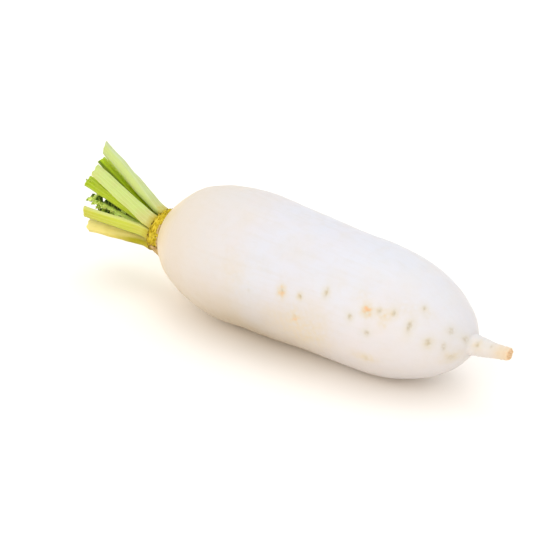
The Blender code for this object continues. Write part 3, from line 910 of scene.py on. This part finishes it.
def leaf_spine(name, rows):
    """The twisted middle line of a young leaf."""
    bearing, rise, swing, length, _, twist = YOUNG_LEAVES[name]
    share = np.linspace(0, 1, rows)
    place, side, outward, forward = bent_frames(
        math.radians(bearing), INNER_SEAT, rise, swing, length * MM, share
    )
    roll = math.radians(twist) * smooth_step(share / 0.5)
    return place, turned(side, forward, roll), turned(outward, forward, roll), forward


def young_leaf(name, look, seed):
    """A crumpled young leaf: lobed blade on a rib, edge waved by a sine, folded by v squared and crinkled.

    v runs across from -1 to 1. The thickness is the blade's plus a bell over the rib, and side veins stand
    proud where a slanted count of them passes a whole number. One half of the first leaf gets painted light.
    """
    length, half = YOUNG_LEAVES[name][3:5]
    # Painted light on one half of the first leaf
    lit_side = 0.97 if name == "young_leaf_1" else 0.0
    rows = 240
    place, side, outward, _ = leaf_spine(name, rows)
    share, v, through = sheet(rows, 64, 0.35)
    blade = smooth_step((share - BLADE_START) / 0.25)
    lobes = 0.2 + 0.8 * np.abs(np.sin(np.pi * LOBES * share)) ** 0.8
    teeth = 1 - 0.14 * blade * np.abs(np.sin(np.pi * 31 * share))
    reach = RIB_WIDTH / 2 + blade * lobes * teeth * (half * MM - RIB_WIDTH / 2)
    edge = np.abs(v) * blade
    beat = np.where(v > 0, WAVES, 1.13 * WAVES)
    wave = WAVE_HEIGHT * edge**1.5 * np.sin(TAU * beat * share + v)
    fold = -LEAF_FOLD * reach * edge**2
    flat = np.stack([share * length * MM + 0 * v, v * reach], axis=-1)
    crinkle = 0.4 * MM * edge * mottle(flat, 2.4, seed)
    count = share * length * MM / (2.6 * MM) - 0.7 * np.abs(v)
    vein = np.exp(-(((count + 0.5) % 1 - 0.5) / 0.1) ** 2) * blade * (1 - 0.5 * np.abs(v))
    bell = np.exp(-((v * reach / (RIB_WIDTH / 2.4)) ** 2))
    thickness = BLADE_THICKNESS + (RIB_DEPTH - BLADE_THICKNESS) * bell * (1 - 0.35 * share)
    thickness = thickness + 0.12 * MM * vein
    out = wave + fold + crinkle + through * thickness / 2
    beside = side[:, None, :] * (v * reach)[..., None]
    points = place[:, None, :] + beside + outward[:, None, :] * out[..., None]
    marks = {
        "vein": [np.maximum(bell * (1 - 0.3 * share), 0.6 * vein)],
        # Painted shade where the blade dips
        "hollow": [smooth_step(0.5 - (wave + crinkle) / (1.2 * MM))],
        "edge": [np.abs(v) ** 4 * blade],
        "lit": [lit_side * smooth_step(0.5 - 3 * v) * smooth_step(share / 0.5)],
    }
    return piece_of(name + "_blade", [laid(on_crown(points))], look, marks)


def dry_scales(look):
    """Scraps of dead leaf bases round the seam: low flakes with torn edges, lying on the shoulder."""
    rng = np.random.default_rng(61)
    t, v, through = sheet(24, 64)
    grids, alongs = [], []
    for k, bearing_degrees in enumerate((64, 104, 188, 218, 268, 312, 350)):
        bearing = math.radians(bearing_degrees + rng.normal(0, 5))
        length, width = rng.uniform(0.7, 1.3) * MM, rng.uniform(4.0, 8.5) * MM
        torn = 1 + 0.35 * np.sin(6 * v + 2 * k) + 0.2 * np.sin(15 * v + k) + 0.12 * np.sin(31 * v - k)
        over = bearing + v * width / 2 * np.sqrt(1 - 0.4 * t**4) / CROWN_RADIUS
        down = -1.4 * MM + (1.4 * MM + length * torn) * t
        lift = 0.22 * MM + 0.2 * MM * t**2 + 0.12 * MM * np.sin(3 * t + 3 * v + k)
        depth = np.maximum(down, 0)
        radius = np.where(down > 0, root_radius(depth), CROWN_RADIUS + 0.3 * MM)
        reach = radius + lift + FLAKE_SKIN * through
        flake = np.stack([reach * np.cos(over) - SEAT_DROP, -reach * np.sin(over), -down], axis=-1)
        grids.append(laid(flake))
        alongs.append(t + 0 * v)
    return piece_of("dry_scales", grids, look, {"along": alongs})


def papery_flap(look):
    """The dead leaf base under the crown: a torn papery web that bridges the corner from crown to shoulder.

    t runs from the crown's side to the shoulder and v across. Its middle spans the corner as 1 - v squared,
    sags by sin(pi t) and is ruffled, and its two sides lie snug.
    """
    t, v, through = sheet(60, 64)
    start = CROWN_RADIUS + 0.5 * MM
    end = float(root_radius(np.array(FLAP_DEPTH))) + 0.25 * MM
    height = FLAP_HEIGHT - (FLAP_HEIGHT + FLAP_DEPTH) * t
    height = height + 0.6 * MM * np.sin(5 * v + 1) * t + 0.9 * MM * np.sin(8 * v) * (1 - t)
    snug = np.maximum(start, root_radius(np.maximum(-height, 0)) + 0.25 * MM)
    bridge = start + (end - start) * t - 0.3 * MM * np.sin(np.pi * t)
    reach = snug + (bridge - snug) * (1 - v**2)
    reach = reach + 0.22 * MM * np.sin(6 * v + 3 * t) + 0.12 * MM * np.sin(15 * v - 5 * t)
    reach = reach + FLAP_SKIN * through
    half = (5.4 + 0.4 * t + 0.35 * np.sin(9 * t) + 0.2 * np.sin(23 * t)) * MM
    over = FLAP_BEARING + v * half / reach
    drop = SEAT_DROP * (1 - smooth_step(-height / DROP_LENGTH))
    web = np.stack([reach * np.cos(over) - drop, -reach * np.sin(over), height], axis=-1)
    return piece_of("papery_flap", [laid(web)], look, {"along": [t + 0 * v]})


def studio():
    """White floor that glows faintly, bright surroundings warm near the ground, and two soft lamps."""
    floor_mesh = bpy.data.meshes.new("floor")
    corners = [(FLOOR_REACH * x, FLOOR_REACH * y, 0) for x, y in ((-1, -1), (1, -1), (1, 1), (-1, 1))]
    floor_mesh.from_pydata(corners, [], [(0, 1, 2, 3)])
    floor_look = material(
        "floor_white",
        Base_Color=(0.94, 0.9, 0.85, 1),
        Emission_Color=(1.0, 0.7, 0.4, 1),
        Emission_Strength=0.03,
        Roughness=0.9,
        Specular_IOR_Level=0.1,
    )[0]
    floor_mesh.materials.append(floor_look)
    added("floor", floor_mesh)

    world = bpy.data.worlds.new("studio")
    world.use_nodes = True
    tree = world.node_tree
    height = node(tree, "SeparateXYZ", Vector=node(tree, "TexCoord").outputs["Generated"]).outputs["Z"]
    sky = blended(tree, scaled(tree, height, 0.0, 0.4), (1.0, 0.92, 0.8, 1), (0.96, 0.985, 1.02, 1))
    feed(tree, tree.nodes["Background"].inputs["Color"], sky)
    tree.nodes["Background"].inputs["Strength"].default_value = 1.12
    bpy.context.scene.world = world

    middle = Vector((0, 0, 0.04))
    for name, place, power, width, colour in (
        ("lamp_above", (-0.2, 0.3, 1.5), 3.5, 1.0, (1.0, 1.0, 1.0)),
        ("lamp_front", (0.1, -1.4, 0.6), 7.5, 1.6, (1.0, 0.87, 0.72)),
    ):
        lamp = bpy.data.lights.new(name, "AREA")
        lamp.energy = power
        lamp.color = colour
        lamp.size = width
        lit = added(name, lamp)
        lit.location = place
        lit.rotation_euler = (middle - Vector(place)).to_track_quat("-Z", "Y").to_euler()
    bpy.context.scene.view_settings.view_transform = "Standard"


def camera():
    """The photograph's view: from above and from the tail's side, with a long lens."""
    right = Vector((math.cos(VIEW_ROUND), math.sin(VIEW_ROUND), 0))
    ahead = Vector((-math.sin(VIEW_ROUND), math.cos(VIEW_ROUND), 0))
    upright = Vector((0, 0, 1))
    view = ahead * math.cos(VIEW_DOWN) - upright * math.sin(VIEW_DOWN)
    above = ahead * math.sin(VIEW_DOWN) + upright * math.cos(VIEW_DOWN)
    middle = Vector((-0.0055, -0.0008, 0.04))
    target = right * -0.0146 + above * 0.0009 + middle
    lens = bpy.data.cameras.new("camera")
    lens.sensor_width = SENSOR_WIDTH
    lens.lens = VIEW_LENS
    made = added("camera", lens)
    made.location = target - view * VIEW_DISTANCE
    made.rotation_euler = Matrix((right, above, -view)).transposed().to_euler()
    bpy.context.scene.camera = made


def stands_for(made, node_name):
    """A finished piece in place of its solid, riding on the root body."""
    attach(made, "root")
    if node_name:
        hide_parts(node_name)


studio()
camera()

stands_for(daikon_root(root_skin()), "root")
stands_for(ringed_crown(crown_rind()), "crown")

palest = stalk_skin(
    "stalk_palest_green",
    foot=(196, 190, 110),
    middle=(190, 204, 140),
    tip=(188, 200, 150),
    upper=(198, 208, 160),
    lower=(190, 206, 120),
    hollow=(180, 200, 20),
    hollow_from=-0.7,
)
pale = stalk_skin(
    "stalk_pale_green",
    foot=(198, 186, 118),
    middle=(190, 206, 118),
    tip=(192, 208, 124),
    upper=(202, 214, 140),
    lower=(212, 214, 84),
    hollow=(172, 188, 80),
)
lime = stalk_skin(
    "stalk_lime",
    foot=(196, 186, 82),
    middle=(190, 198, 66),
    tip=(186, 190, 60),
    # Painted light on the upper margin, and painted shade on the lower margin as a dark line in the gap above
    # the yellow stalk
    upper=(218, 222, 150),
    lower=(124, 124, 0),
    hollow=(170, 178, 50),
    lower_from=0.36,
)
yellow = stalk_skin(
    "stalk_yellow",
    foot=(190, 176, 60),
    middle=(212, 196, 92),
    tip=(218, 204, 128),
    # Painted light on the upper margin and the hollow side, against the lime stalk's shadow
    upper=(230, 218, 130),
    lower=(206, 192, 80),
    hollow=(222, 210, 126),
    heel=(162, 154, 0),
)
green = stalk_skin(
    "stalk_deep_green",
    foot=(196, 196, 50),
    middle=(180, 206, 0),
    tip=(170, 198, 6),
    # Painted light on the upper margin against the first stalk's shade, and painted shade on the lower margin
    # beside the second stalk
    upper=(226, 236, 90),
    lower=(62, 90, 0),
    hollow=(160, 188, 0),
    lower_from=0.6,
)
bright = stalk_skin(
    "stalk_bright_green",
    foot=(188, 194, 70),
    middle=(178, 198, 36),
    tip=(152, 176, 4),
    upper=(196, 208, 80),
    lower=(130, 150, 14),
    hollow=(150, 170, 8),
)

# Each stalk with its skin, its ribs, how ragged its cut is, its seed, its heel and its slot
for name, look, ribs, ragged, seed, heel, slot in (
    ("leaf_stalk_1", palest, 5, 0.10, 100, 0, "stalk_green"),
    ("leaf_stalk_2", pale, 5, 0.20, 110, 0, "stalk_green"),
    ("leaf_stalk_3", lime, 5, 0.12, 120, 0, "stalk_green"),
    ("leaf_stalk_4", yellow, 4, 0.55, 130, 2.4, "stalk_green"),
    ("leaf_stalk_5", lime, 5, 0.25, 140, 0, "stalk_green"),
    ("leaf_stalk_6", pale, 5, 0.20, 150, 0, "stalk_green"),
    ("inner_stalk_1", bright, 4, 0.20, 160, 0, "inner_stalk_green"),
    ("inner_stalk_2", green, 4, 0.20, 170, 0, "inner_stalk_green"),
):
    stands_for(leaf_stalk(name, look, ribs, ragged, seed, heel), name)

# Painted shade: a darkened copy of the young leaves' green for leaves lying in shade, with a painted
# highlight colour
shaded_leaf = leaf_green(
    "young_leaf_green",
    blade=(50, 84, 4),
    deep=(12, 30, 0),
    edge=(124, 166, 36),
    vein=(186, 208, 86),
    lit=(228, 246, 138),
)
fresh = leaf_green(
    "fresh_leaf_green",
    blade=(160, 190, 24),
    deep=(96, 134, 0),
    edge=(196, 212, 90),
    vein=(210, 224, 110),
    lit=(196, 212, 90),
)

# The first leaf has its leaflets in the painted shade green on one side only, and fresh ones, painted as lit,
# on the other side of its tip
for k, name in enumerate(YOUNG_LEAVES):
    stands_for(young_leaf(name, shaded_leaf, 200 + 10 * k), name)
    hands = (1,) if name == "young_leaf_1" else (-1, 1)
    shares = np.linspace(0.5, 0.99, 15)
    spray_look = fresh if name == "young_leaf_2" else shaded_leaf
    spray = leaflets(name + "_leaflets", leaf_spine(name, 200), spray_look, shares, 2.9, 300 + k, hands)
    stands_for(spray, None)
low_spine = leaf_spine("young_leaf_1", 200)
low_shares = np.linspace(0.78, 0.99, 7)
low_spray = leaflets("young_leaf_1_fresh_leaflets", low_spine, fresh, low_shares, 2.4, 310, (-1,))
stands_for(low_spray, None)
stands_for(tip_leaflets(fresh), None)

papery = dry_scale()
stands_for(dry_scales(papery), None)
stands_for(papery_flap(papery), None)
